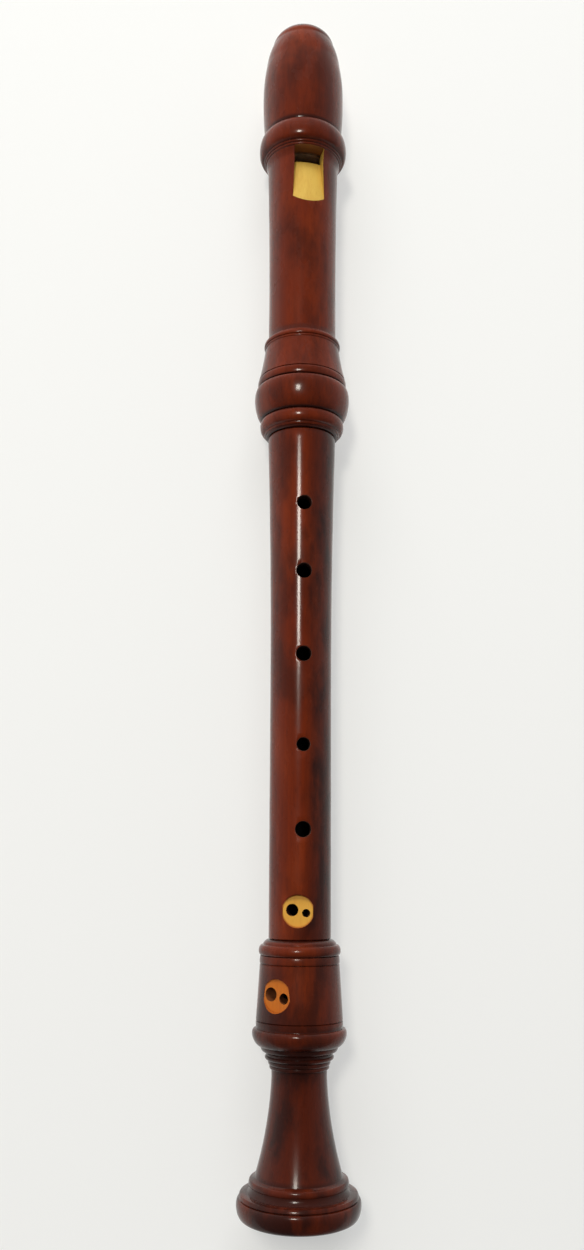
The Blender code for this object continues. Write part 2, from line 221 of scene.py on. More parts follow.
class Outline:
    """A turned outline, drawn from the foot's end towards the beak as (radius, station)."""

    def __init__(self, radius, station):
        self.points = [(radius, station)]

    @property
    def station(self):
        return self.points[-1][1]

    @property
    def radius(self):
        return self.points[-1][0]

    def line(self, run, radius, steps=1):
        """A straight cut over run mm to a radius in metres."""
        first, start = self.points[-1]
        for step in range(1, steps + 1):
            share = step / steps
            self.points.append((first + (radius - first) * share, start + run * MM * share))
        return self

    def step(self, run, rise):
        """A straight cut over run mm that rises by rise mm."""
        return self.line(run, self.radius + rise * MM)

    def curve(self, run, radius, bow, steps):
        """A slow curve to a radius, bowed out by bow mm at its middle, or in where bow is negative."""
        first, start = self.points[-1]
        for step in range(1, steps + 1):
            share = step / steps
            swell = 4 * bow * MM * share * (1 - share)
            self.points.append((first + (radius - first) * share + swell, start + run * MM * share))
        return self

    def bead(self, run, radius, crest, steps=14):
        """A half-round bead over run mm, ending at a radius, whose middle stands at crest."""
        first, start = self.points[-1]
        height = crest - (first + radius) / 2
        for step in range(1, steps + 1):
            turn = math.pi * step / steps
            share = (1 - math.cos(turn)) / 2
            swell = height * math.sin(turn)
            self.points.append((first + (radius - first) * share + swell, start + run * MM * share))
        return self

    def groove(self, depth):
        """A scribed line half a millimetre wide with a round bottom."""
        for run, share in ((0.1, -0.7), (0.15, -0.3), (0.15, 0.3), (0.1, 0.7)):
            self.step(run, share * depth)
        return self

    def stretched(self, end):
        """The same outline with its stations scaled so that it ends at a station."""
        start = self.points[0][1]
        share = (end - start) / (self.station - start)
        self.points = [(radius, start + (station - start) * share) for radius, station in self.points]
        return self

    def radius_at(self, station):
        for (first, start), (second, end) in zip(self.points, self.points[1:]):
            if start <= station <= end and end > start:
                return first + (second - first) * (station - start) / (end - start)
        return self.points[-1][0] if station > self.station else self.points[0][0]


def tenon_sizes(turning):
    """Channel and socket radii of the upper and lower tenons."""
    upper = turning.middle_bore_top + turning.tenon_wall
    lower = turning.middle_bore_end + turning.tenon_wall + 0.2 * MM
    lapped = 0.3 * MM + turning.cork + 0.2 * MM
    return upper, upper + lapped, lower, lower + lapped


def foot_outline(turning):
    """The bell, its flare, the ring group, the bead and the cup that holds the lower socket."""
    _, _, _, socket = tenon_sizes(turning)
    tube = socket + 1.7 * MM
    bell = 22.49 * MM
    bead = 17.38 * MM
    outline = Outline(19.4 * MM, 0.0)
    outline.curve(0.5, bell - 1.7 * MM, 0.25, 3).bead(6.5, bell - 0.8 * MM, bell, 18)
    outline.groove(0.4).curve(1.2, bell - 1.3 * MM, 0.1, 3).step(0.12, -0.5).step(0.15, -1.9)
    outline.curve(2.2, bell - 4.6 * MM, -0.2, 5)
    outline.bead(2.2, bell - 4.9 * MM, bell - 4.35 * MM, 8)
    outline.step(0.1, -0.8).step(0.2, -0.3).curve(0.3, outline.radius - 0.5 * MM, -0.05, 2)
    neck = bead - 7.15 * MM
    outline.curve(34.0, neck, -1.15, 30).line(2.3, neck + 0.1 * MM, 2)
    outline.step(0.1, 0.4).step(0.1, 0.1).bead(1.2, neck + 0.65 * MM, neck + 0.85 * MM, 5)
    outline.step(0.1, 0.25).step(0.2, 0.1).bead(1.3, neck + 1.1 * MM, neck + 1.3 * MM, 5)
    outline.bead(1.7, neck + 2.05 * MM, neck + 2.45 * MM, 8)
    outline.curve(1.5, neck + 3.05 * MM, -0.25, 5).step(0.1, 0.45).step(0.1, 0.15)
    outline.curve(1.6, neck + 4.25 * MM, 0.12, 4)
    cup = tube + 3.2 * MM
    outline.bead(6.3, cup + 1.4 * MM, bead, 18).step(0.08, -0.25).step(0.12, -0.05)
    outline.curve(2.3, cup + 1.2 * MM, 0.08, 4).groove(0.35)
    outline.line(19.6, cup, 8).groove(0.3)
    outline.bead(2.6, cup - 0.2 * MM, cup + 0.05 * MM, 8).step(0.1, -0.25).step(0.1, -0.05)
    outline.bead(3.8, cup - 0.85 * MM, cup + 0.45 * MM, 14).step(0.07, -0.3).step(0.08, -0.05)
    return outline.curve(1.65, tube + 0.5 * MM, 0.35, 8).stretched(FOOT_RIM)


def tube_outline(turning):
    """The middle joint between its shoulders: nearly straight below, then swelling to the head."""
    _, upper_socket, _, lower_socket = tenon_sizes(turning)
    start = FOOT_RIM + JOINT_LINE
    end = HEAD_RIM - JOINT_LINE
    run = (end - start) / MM
    low, high = lower_socket + 1.7 * MM, upper_socket + 1.7 * MM
    outline = Outline(low - 0.25 * MM, start)
    outline.curve(0.4, low, 0.08, 3).line(0.52 * run - 0.4, low + 0.3 * MM, 30)
    return outline.curve(0.48 * run - 0.3, high, -0.35, 30).curve(0.3, high - 0.2 * MM, 0.05, 2)


def head_outline(turning):
    """The socket's bead and bulge, the cone and ring, the plain tube, the bead and the beak."""
    _, upper_socket, _, _ = tenon_sizes(turning)
    shoulder = upper_socket + 1.7 * MM
    bead, bulge = 17.4 * MM, 19.62 * MM
    outline = Outline(shoulder + 0.2 * MM, HEAD_RIM)
    outline.curve(0.3, shoulder + 0.8 * MM, 0.05, 2).step(0.6, 0.2).step(0.07, 0.35)
    outline.curve(0.95, shoulder + 1.6 * MM, 0.1, 4).step(0.08, 0.3).step(0.1, 0.15)
    outline.bead(5.4, bead - 1.0 * MM, bead, 16)
    outline.bead(14.0, bulge - 1.4 * MM, bulge, 26).groove(0.35)
    outline.bead(3.3, bulge - 1.45 * MM, bulge - 1.05 * MM, 10).groove(0.35)
    tube = turning.head_bore + 4.5 * MM
    outline.curve(13.9, tube + 1.3 * MM, -0.2, 12).step(0.05, 0.12)
    outline.bead(1.0, tube + 1.35 * MM, tube + 1.5 * MM, 6).step(0.05, 0.2)
    outline.bead(1.7, tube + 1.4 * MM, tube + 1.8 * MM, 9).step(0.1, -0.75)
    outline.bead(0.9, tube + 0.4 * MM, tube + 0.7 * MM, 6).step(0.1, -0.12)
    outline.curve(3.27, tube - 0.05 * MM, -0.1, 6)
    outline.curve(77.4, tube + 0.95 * MM, -0.3, 40)
    outline.curve(4.0, tube + 1.8 * MM, -0.2, 8).step(0.6, 0.05)
    window_top = outline.station
    outline.step(0.1, 0.3).bead(1.0, tube + 2.2 * MM, tube + 2.35 * MM, 5).step(0.1, 0.4)
    outline.bead(1.1, tube + 2.7 * MM, tube + 2.85 * MM, 5).step(0.12, 0.4).step(0.1, 0.1)
    bead = 19.2 * MM
    outline.bead(10.1, bead - 2.25 * MM, bead, 24).step(0.08, -0.25).step(0.12, -0.05)
    outline.curve(0.9, bead - 2.3 * MM, 0.05, 3)
    swell = 17.85 * MM
    outline.curve(20.925, swell, 0.3, 14)
    outline.curve(14.88, swell - 1.3 * MM, 0.35, 12)
    outline.curve(10.695, swell - 4.0 * MM, 0.45, 10)
    outline.curve(4.3, turning.head_bore + 1.9 * MM, 0.5, 10)
    outline.curve(0.5, turning.head_bore + 0.9 * MM, 0.2, 6)
    share = (TIP - HEAD_RIM) / (outline.station - HEAD_RIM)
    return outline.stretched(TIP), HEAD_RIM + (window_top - HEAD_RIM) * share


def place(turn=0.0):
    """The matrix that takes (across, station, height over the axis) into the part's frame."""
    return Matrix.Translation((0, LOW.y, AXIS_HEIGHT)) @ Matrix.Rotation(turn, 4, "Y")


def object_of(name, mesh_maker, turn, finishes):
    """A finished object at the origin, with its place in its mesh."""
    mesh = bpy.data.meshes.new(name)
    mesh_maker.transform(place(turn))
    mesh_maker.to_mesh(mesh)
    mesh_maker.free()
    made = bpy.data.objects.new(name, mesh)
    for finish in finishes:
        mesh.materials.append(finish)
    bpy.context.scene.collection.objects.link(made)
    return made


def turned(maker, points, axis, facets, closed=False):
    """Spins a profile's points once round an axis and merges the seam."""
    verts = [maker.verts.new(point) for point in points]
    pairs = list(zip(verts, verts[1:]))
    if closed:
        pairs.append((verts[-1], verts[0]))
    edges = [maker.edges.new(pair) for pair in pairs]
    bmesh.ops.spin(
        maker,
        geom=verts + edges,
        cent=(0, 0, 0),
        axis=axis,
        angle=2 * math.pi,
        steps=facets,
        use_merge=True,
    )
    bmesh.ops.remove_doubles(maker, verts=maker.verts, dist=SEAM)


def spun(name, rings, facets, finishes, turn=0.0):
    """Closed loop of (radius, station, finish index) points spun round the axis."""
    maker = bmesh.new()
    turned(maker, [(radius, station, 0) for radius, station, _ in rings], (0, 1, 0), facets, closed=True)
    bmesh.ops.recalc_face_normals(maker, faces=maker.faces)
    spans = []
    for index, (radius, station, finish) in enumerate(rings):
        other = rings[(index + 1) % len(rings)]
        spans.append(((radius + other[0]) / 2, (station + other[1]) / 2, finish))
    inner = [span for span in spans if span[2] > 0]
    for face in maker.faces:
        centre = face.calc_center_median()
        radius = math.hypot(centre.x, centre.z)
        for span_radius, station, finish in inner:
            if abs(centre.y - station) < 0.02 * MM and abs(radius - span_radius) < 0.12 * MM:
                face.material_index = finish
                break
    return object_of(name, maker, turn, finishes)


def lofted(name, sections, turn, finish):
    """A solid through sections of equal count, each a station and its (across, height) points."""
    maker = bmesh.new()
    rings = []
    for station, points in sections:
        verts = [maker.verts.new((across, station, height)) for across, height in points]
        face = maker.faces.new(verts)
        rings.append(list(face.edges))
    for first, second in zip(rings, rings[1:]):
        bmesh.ops.bridge_loops(maker, edges=first + second)
    bmesh.ops.recalc_face_normals(maker, faces=maker.faces)
    return object_of(name, maker, turn, [finish])


def crowned(half_width, crown, height, steps=12):
    """Points of an arc across the bore, left to right, with its crest at a height."""
    arc = math.asin(half_width / crown)
    turns = [arc * (2 * step / steps - 1) for step in range(steps + 1)]
    return [(crown * math.sin(turn), height - crown * (1 - math.cos(turn))) for turn in turns]


def drill(name, station, turn, diameter, surface, facets, finish):
    """A drill whose end flares over the surface, so that the hole's lip is eased all round."""
    radius = diameter / 2
    lip = (
        (radius, -0.5),
        (radius + 0.02 * MM, -0.28),
        (radius + 0.07 * MM, -0.12),
        (radius + 0.17 * MM, -0.02),
        (radius + 0.32 * MM, 0.05),
        (radius + 0.42 * MM, 0.4),
        (radius + 0.42 * MM, 3.0),
    )
    points = [(0, 0, 0), (radius, 0, 0)]
    points += [(wide, 0, surface + rise * MM) for wide, rise in lip]
    points.append((0, 0, surface + 3 * MM))
    maker = bmesh.new()
    turned(maker, points, (0, 0, 1), facets)
    for vert in maker.verts:
        if 0 < surface - vert.co.z < 1 * MM or 0 <= vert.co.z - surface < 1 * MM:
            vert.co.z -= surface - math.sqrt(surface**2 - vert.co.x**2)
    bmesh.ops.recalc_face_normals(maker, faces=maker.faces)
    bmesh.ops.translate(maker, verts=maker.verts, vec=(0, station, 0))
    return object_of(name, maker, turn, [finish])


def plain_drill(name, station, turn, diameter, low, high, facets, finish):
    """A straight drill that points out from the axis, from one height over it to another."""
    maker = bmesh.new()
    bmesh.ops.create_cone(
        maker,
        cap_ends=True,
        segments=facets,
        radius1=diameter / 2,
        radius2=diameter / 2,
        depth=high - low,
        matrix=Matrix.Translation((0, station, (low + high) / 2)),
    )
    return object_of(name, maker, turn, [finish])


def carve(made, cutters):
    """Cuts the piece with each cutter in turn, whose finish the cut faces take, and removes it."""
    for cutter in cutters:
        boolean = made.modifiers.new(cutter.name, "BOOLEAN")
        boolean.operation = "DIFFERENCE"
        boolean.solver = "EXACT"
        boolean.material_mode = "TRANSFER"
        boolean.object = cutter
    bpy.context.view_layer.update()
    carved = bpy.data.meshes.new_from_object(made.evaluated_get(bpy.context.evaluated_depsgraph_get()))
    made.modifiers.clear()
    made.data = carved
    for cutter in cutters:
        bpy.data.objects.remove(cutter)


def polish(made, outline):
    """Smooth shading with sharp cuts, and how deep each point lies in the turned rings."""
    mesh = made.data
    mesh.shade_smooth()
    mesh.set_sharp_from_angle(angle=math.radians(CRISP))
    hollow = mesh.attributes.new("hollow", "FLOAT", "POINT")
    cache = {}
    depths = []
    for vert in mesh.vertices:
        station = round(vert.co.y - LOW.y, 5)
        if station not in cache:
            around = [outline.radius_at(station + shift * 0.7 * MM) for shift in range(-5, 6)]
            cache[station] = (sum(around) / len(around), outline.radius_at(station))
        mean, own = cache[station]
        depths.append(max(-1.0, min(1.0, (mean - own) / (1.1 * MM))))
    hollow.data.foreach_set("value", depths)


class NodeKit:
    """Places nodes in a tree from left to right and joins them."""

    def __init__(self, tree):
        self.tree = tree
        self.column = 0

    def add(self, kind, **settings):
        node = self.tree.nodes.new(kind)
        node.location = (self.column * 180 - 1200, -220 * (self.column % 3))
        self.column += 1
        for name, value in settings.items():
            setattr(node, name, value)
        return node

    def join(self, source, target):
        self.tree.links.new(source, target)

    def value(self, socket, given):
        """Sets a socket to a number or colour, or joins another socket to it."""
        if isinstance(given, bpy.types.NodeSocket):
            self.join(given, socket)
        elif hasattr(given, "__len__") and len(given) == 3 and socket.type == "RGBA":
            socket.default_value = (*given, 1)
        else:
            socket.default_value = given

    def math(self, operation, first, second=0.0, clamp=False):
        node = self.add("ShaderNodeMath", operation=operation, use_clamp=clamp)
        self.value(node.inputs[0], first)
        self.value(node.inputs[1], second)
        return node.outputs[0]

    def mix(self, share, first, second, blend="MIX"):
        node = self.add("ShaderNodeMix", data_type="RGBA", blend_type=blend)
        self.value(node.inputs[0], share)
        self.value(node.inputs[6], first)
        self.value(node.inputs[7], second)
        return node.outputs[2]

    def remap(self, source, low, high, to_low=0.0, to_high=1.0):
        node = self.add("ShaderNodeMapRange", interpolation_type="SMOOTHSTEP")
        for name, given in (
            ("Value", source),
            ("From Min", low),
            ("From Max", high),
            ("To Min", to_low),
            ("To Max", to_high),
        ):
            self.value(node.inputs[name], given)
        return node.outputs[0]

    def noise(self, vector, scale, detail=3.0, roughness=0.5, distortion=0.0):
        node = self.add("ShaderNodeTexNoise")
        self.value(node.inputs["Vector"], vector)
        self.value(node.inputs["Scale"], scale)
        self.value(node.inputs["Detail"], detail)
        self.value(node.inputs["Roughness"], roughness)
        self.value(node.inputs["Distortion"], distortion)
        return node.outputs["Fac"]

    def stretched(self, vector, along, shift=0.0):
        """The vector squeezed along Y, which draws a pattern out along the grain."""
        node = self.add("ShaderNodeMapping")
        self.value(node.inputs["Vector"], vector)
        node.inputs["Location"].default_value = (shift, shift * 0.7, -shift)
        node.inputs["Scale"].default_value = (1, along, 1)
        return node.outputs[0]


def group(name, inputs, outputs):
    """A node group with named sockets, its kit, and its input and output nodes."""
    made = bpy.data.node_groups.new(name, "ShaderNodeTree")
    for label, kind, default in inputs:
        socket = made.interface.new_socket(label, in_out="INPUT", socket_type=kind)
        if default is not None:
            socket.default_value = default
    for label, kind in outputs:
        made.interface.new_socket(label, in_out="OUTPUT", socket_type=kind)
    kit = NodeKit(made)
    return kit, kit.add("NodeGroupInput"), kit.add("NodeGroupOutput")


COLOUR, NUMBER, VECTOR = "NodeSocketColor", "NodeSocketFloat", "NodeSocketVector"


def grain_group():
    """Fine lengthwise grain with small pores, for stained and bare wood alike."""
    kit, given, out = group(
        "Wood grain",
        [("Vector", VECTOR, None), ("Scale", NUMBER, 900.0), ("Pores", NUMBER, 0.35)],
        [("Grain", NUMBER), ("Pore", NUMBER)],
    )
    drawn = kit.stretched(given.outputs["Vector"], 0.045)
    fine = kit.noise(drawn, given.outputs["Scale"], 4.0, 0.62)
    broad = kit.noise(drawn, kit.math("MULTIPLY", given.outputs["Scale"], 0.22), 2.0, 0.5, 0.4)
    both = kit.math("ADD", kit.math("MULTIPLY", fine, 0.6), kit.math("MULTIPLY", broad, 0.4))
    kit.join(kit.remap(both, 0.33, 0.67), out.inputs["Grain"])
    dashes = kit.stretched(given.outputs["Vector"], 0.12, 0.31)
    specks = kit.noise(dashes, kit.math("MULTIPLY", given.outputs["Scale"], 2.2), 1.0, 0.4)
    pores = kit.remap(specks, 0.62, 0.72)
    kit.join(kit.math("MULTIPLY", pores, given.outputs["Pores"]), out.inputs["Pore"])
    return given.id_data


def mottle_group():
    """Cloudy thick and thin places of a hand-wiped stain, drawn out along the grain."""
    kit, given, out = group(
        "Stain clouds",
        [("Vector", VECTOR, None), ("Scale", NUMBER, 60.0), ("Seed", NUMBER, 0.0)],
        [("Thick", NUMBER), ("Rubbed", NUMBER)],
    )
    shifted = kit.add("ShaderNodeVectorMath", operation="ADD")
    kit.join(given.outputs["Vector"], shifted.inputs[0])
    kit.join(given.outputs["Seed"], shifted.inputs[1])
    drawn = kit.stretched(shifted.outputs[0], 0.38)
    clouds = kit.noise(drawn, given.outputs["Scale"], 4.0, 0.55, 0.3)
    small = kit.noise(drawn, kit.math("MULTIPLY", given.outputs["Scale"], 3.6), 3.0, 0.6)
    both = kit.math("ADD", clouds, kit.math("MULTIPLY", small, 0.35))
    kit.join(kit.remap(both, 0.56, 0.86), out.inputs["Thick"])
    warm_drawn = kit.stretched(shifted.outputs[0], 0.3, 0.17)
    warm = kit.noise(warm_drawn, kit.math("MULTIPLY", given.outputs["Scale"], 0.8), 3.0)
    kit.join(kit.remap(warm, 0.46, 0.74), out.inputs["Rubbed"])
    return given.id_data


def instance(kit, tree, **values):
    node = kit.add("ShaderNodeGroup", node_tree=tree)
    for label, given in values.items():
        kit.value(node.inputs[label.replace("_", " ")], given)
    return node.outputs


def new_material(name):
    """A material with only its output and Principled shader, and a kit to build the rest."""
    made = bpy.data.materials.new(name)
    made.use_nodes = True
    made.node_tree.nodes.clear()
    kit = NodeKit(made.node_tree)
    shader = kit.add("ShaderNodeBsdfPrincipled")
    shader.location = (700, 0)
    output = kit.add("ShaderNodeOutputMaterial")
    output.location = (1000, 0)
    kit.join(shader.outputs[0], output.inputs["Surface"])
    kit.column = 0
    coordinates = kit.add("ShaderNodeTexCoord").outputs["Object"]
    return made, kit, shader, coordinates


def bumped(kit, shader, height, distance, strength=1.0):
    bump = kit.add("ShaderNodeBump")
    bump.inputs["Strength"].default_value = strength
    bump.inputs["Distance"].default_value = distance
    kit.value(bump.inputs["Height"], height)
    kit.join(bump.outputs[0], shader.inputs["Normal"])


def stained_wood(name, groups, finish, seed, darker=0.0, shade=None):
    """Stained and polished wood: clouds of stain, grain, coves darkened by pooled stain and by painted
    shade, and rubbed crests.

    A shade is (axis, from, to, amount): a darkening that grows along one axis of the part; on the middle
    joint it is painted shade on the side turned from the light.
    """
    grain, clouds = groups
    made, kit, shader, coordinates = new_material(name)
    cloud = instance(kit, clouds, Vector=coordinates, Scale=62.0, Seed=seed)
    streak = instance(kit, grain, Vector=coordinates, Scale=950.0, Pores=0.5)
    hollow = kit.add("ShaderNodeAttribute", attribute_name="hollow").outputs["Fac"]
    # Pooled stain and painted shade in the coves: the deeper a point lies in the turned rings, the darker it
    # is painted
    cove_stain_and_shade = kit.remap(hollow, 0.0, 0.6, 0.0, 0.95)
    crest = kit.remap(hollow, 0.0, -0.8, 0.0, 0.15)
    tone = kit.mix(kit.math("MULTIPLY", cloud["Rubbed"], 0.55), finish.stain, finish.stain_rubbed)
    tone = kit.mix(kit.math("MULTIPLY", streak["Grain"], 0.28), tone, finish.stain_deep)
    stain_and_shade = kit.math("ADD", kit.math("MULTIPLY", cloud["Thick"], 0.62), darker)
    if shade:
        # A darkening along one axis of the part, which on the middle joint is painted shade
        axis, start, end, amount = shade
        along = kit.add("ShaderNodeSeparateXYZ")
        kit.join(coordinates, along.inputs[0])
        stain_and_shade = kit.math("ADD", stain_and_shade, kit.remap(along.outputs[axis], start, end, 0.0, amount))
    stain_and_shade = kit.math("SUBTRACT", stain_and_shade, crest, clamp=True)
    tone = kit.mix(kit.math("MAXIMUM", stain_and_shade, cove_stain_and_shade), tone, finish.stain_deep)
    tone = kit.mix(kit.math("MULTIPLY", streak["Pore"], 0.5), tone, finish.stain_deep)
    kit.join(tone, shader.inputs["Base Color"])
    smear = kit.noise(kit.stretched(coordinates, 0.5, 0.09), 140.0, 3.0)
    gloss = kit.remap(smear, 0.3, 0.75, finish.gloss - 0.05, finish.gloss + 0.10)
    kit.join(gloss, shader.inputs["Roughness"])
    ripple = kit.math("MULTIPLY", streak["Grain"], 0.3)
    bumped(kit, shader, kit.math("SUBTRACT", ripple, streak["Pore"]), 0.03 * MM, 0.35)
    shader.inputs["Specular IOR Level"].default_value = 0.08
    shader.inputs["Coat Weight"].default_value = 0.33
    shader.inputs["Coat Roughness"].default_value = 0.13
    return made


def bare_wood(name, groups, finish, colours, roughness, disc=None, dark_from=None):
    """Wood cut through the stain, with fine lengthwise grain.

    A disc (centre, radius) gets a stained rim, and what lies past dark_from along Y is dark.
    """
    grain, _ = groups
    base, dark = colours
    made, kit, shader, coordinates = new_material(name)
    streak = instance(kit, grain, Vector=coordinates, Scale=1100.0, Pores=0.25)
    soft = kit.noise(kit.stretched(coordinates, 0.2, 0.4), 150.0, 2.0)
    tone = kit.mix(kit.math("MULTIPLY", streak["Grain"], kit.remap(soft, 0.3, 0.7, 0.25, 0.8)), base, dark)
    tone = kit.mix(kit.math("MULTIPLY", streak["Pore"], 0.6), tone, finish.rim)
    if disc:
        centre, radius = disc
        away = kit.add("ShaderNodeVectorMath", operation="DISTANCE")
        kit.join(coordinates, away.inputs[0])
        away.inputs[1].default_value = centre
        rim = kit.remap(away.outputs["Value"], radius - 0.7 * MM, radius - 0.1 * MM)
        tone = kit.mix(kit.math("MULTIPLY", rim, 0.85), tone, finish.rim)
    if dark_from is not None:
        along = kit.add("ShaderNodeSeparateXYZ")
        kit.join(coordinates, along.inputs[0])
        wall = kit.math("GREATER_THAN", along.outputs["Y"], dark_from)
        tone = kit.mix(wall, tone, WINDOW_WALL)
    kit.join(tone, shader.inputs["Base Color"])
    shader.inputs["Roughness"].default_value = roughness
    shader.inputs["Specular IOR Level"].default_value = 0.25
    bumped(kit, shader, streak["Grain"], 0.02 * MM, 0.3)
    return made


def plain_wood(name, groups, colour_value, dark, roughness, scale=700.0):
    """Oiled bores, drilled walls and the cedar block."""
    grain, clouds = groups
    made, kit, shader, coordinates = new_material(name)
    streak = instance(kit, grain, Vector=coordinates, Scale=scale, Pores=0.4)
    cloud = instance(kit, clouds, Vector=coordinates, Scale=90.0, Seed=4.0)
    tone = kit.mix(kit.math("MULTIPLY", streak["Grain"], 0.6), colour_value, dark)
    tone = kit.mix(kit.math("MULTIPLY", cloud["Thick"], 0.4), tone, dark)
    kit.join(tone, shader.inputs["Base Color"])
    kit.join(kit.remap(cloud["Rubbed"], 0.0, 1.0, roughness, roughness - 0.1), shader.inputs["Roughness"])
    bumped(kit, shader, streak["Grain"], 0.03 * MM, 0.5)
    return made


def cork_sheet(name, finish):
    """Cork with its cells, dark flecks and matt skin."""
    made, kit, shader, coordinates = new_material(name)
    cells = kit.add("ShaderNodeTexVoronoi")
    kit.join(coordinates, cells.inputs["Vector"])
    cells.inputs["Scale"].default_value = 1500.0
    flecks = kit.remap(kit.noise(coordinates, 900.0, 4.0, 0.7), 0.55, 0.72)
    pale = kit.mix(kit.noise(coordinates, 300.0), finish.cork, CORK_PALE)
    tone = kit.mix(flecks, pale, CORK_FLECK)
    kit.join(tone, shader.inputs["Base Color"])
    shader.inputs["Roughness"].default_value = 0.85
    bumped(kit, shader, kit.math("SUBTRACT", cells.outputs["Distance"], flecks), 0.08 * MM, 0.6)
    return made


def wood_groups():
    """The two node groups that every wood shares, made once."""
    grain = bpy.data.node_groups.get("Wood grain") or grain_group()
    clouds = bpy.data.node_groups.get("Stain clouds") or mottle_group()
    return grain, clouds


def disc_centre(station, turn, height):
    return place(turn) @ Vector((0, station, height))


def dress(piece, node, body):
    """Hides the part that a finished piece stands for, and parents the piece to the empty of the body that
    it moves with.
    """
    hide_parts(node)
    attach(piece, body)


def sizes(context):
    scene = context.scene
    return scene.recorder_turning, scene.recorder_voicing, scene.recorder_finish, scene.recorder_stage


# Single finger holes from the head down, as (distance from the one above, diameter) in mm,
# and the holes of each pair as (turn in degrees, shift along, diameter)
FINGER_HOLES = ((31.9, 5.7), (28.1, 5.9), (33.3, 5.8), (35.3, 5.05), (31.9, 5.8))
MIDDLE_PAIR = ((-21.0, 0.4, 4.45), (7.0, -0.7, 2.9))
FOOT_PAIR = ((-50.0, 0.4, 4.9), (-28.0, -0.8, 3.8))

# The cutter of a pair's flat, the width that it leaves, and its facets
PAIR_FLAT, PAIR_FLAT_WIDTH, PAIR_FLAT_FACETS = 12.0 * MM, 11.3 * MM, 96


def flat_height(surface):
    """Height over the axis of the flat that is cut for a pair of small holes."""
    return math.sqrt(surface**2 - (PAIR_FLAT_WIDTH / 2) ** 2)


def double_hole(name, station, turn, holes, surface, facets, finishes):
    """Cutters of a flat through the stain and of its two small holes."""
    flat_finish, wall_finish = finishes
    turn = math.radians(turn)
    flat = flat_height(surface)
    high = surface + 3 * MM
    cutters = [
        plain_drill(name + "_flat", station, turn, PAIR_FLAT, flat, high, PAIR_FLAT_FACETS, flat_finish)
    ]
    for index, (hole_turn, shift, diameter) in enumerate(holes):
        cutters.append(
            plain_drill(
                f"{name}_hole_{index + 1}",
                station + shift * MM,
                math.radians(hole_turn),
                diameter * MM,
                0,
                high,
                facets,
                wall_finish,
            )
        )
    return cutters


class RECORDER_OT_foot(bpy.types.Operator):
    """Turns the foot joint with its bell, rings, cup and double hole"""

    bl_idname = "recorder.foot"
    bl_label = "Foot Joint"

    def execute(self, context):
        turning, _, finish, _ = sizes(context)
        groups = wood_groups()
        outline = foot_outline(turning)
        _, _, _, socket = tenon_sizes(turning)
        floor = LOW_TENON_END - JOINT_LINE
        station, turn = floor - 3.3 * MM, -40.0
        surface = outline.radius_at(station)
        flat = flat_height(surface)
        wood = stained_wood(
            "foot_stained_wood", groups, finish, 3.0, 0.26, ("Y", LOW.y + 80 * MM, LOW.y + 30 * MM, 0.35)
        )
        bore = plain_wood("foot_oiled_bore", groups, finish.bore, BORE_DARK, 0.45)
        # The foot's flat: its bare wood is painted darker and redder, as shade for a flat turned from the
        # light
        shaded_amber = bare_wood(
            "foot_flat_wood",
            groups,
            finish,
            (finish.shaded_amber, SHADED_AMBER_GRAIN),
            finish.bare_roughness,
            (disc_centre(station, math.radians(turn), flat), PAIR_FLAT / 2),
        )
        wall = plain_wood("foot_hole_wall", groups, finish.hole_wall, FOOT_WALL_DARK, 0.5)
        rings = [(radius, along, 0) for radius, along in outline.points]
        inside = [
            (socket + 0.35 * MM, FOOT_RIM, 1),
            (socket, FOOT_RIM - 0.35 * MM, 1),
            (socket, floor, 1),
            (turning.foot_bore_top, floor, 1),
            ((turning.foot_bore_top + turning.foot_bore_end) / 2, floor / 2, 1),
            (turning.foot_bore_end, 0.5 * MM, 1),
            (turning.foot_bore_end + 0.4 * MM, 0.0, 0),
        ]
        piece = spun("foot_joint_turned", rings + inside, turning.facets, [wood, bore])
        carve(
            piece,
            double_hole("foot_pair", station, turn, FOOT_PAIR, surface, turning.hole_facets, (shaded_amber, wall)),
        )
        polish(piece, outline)
        dress(piece, "foot_joint", "foot")
        return {"FINISHED"}


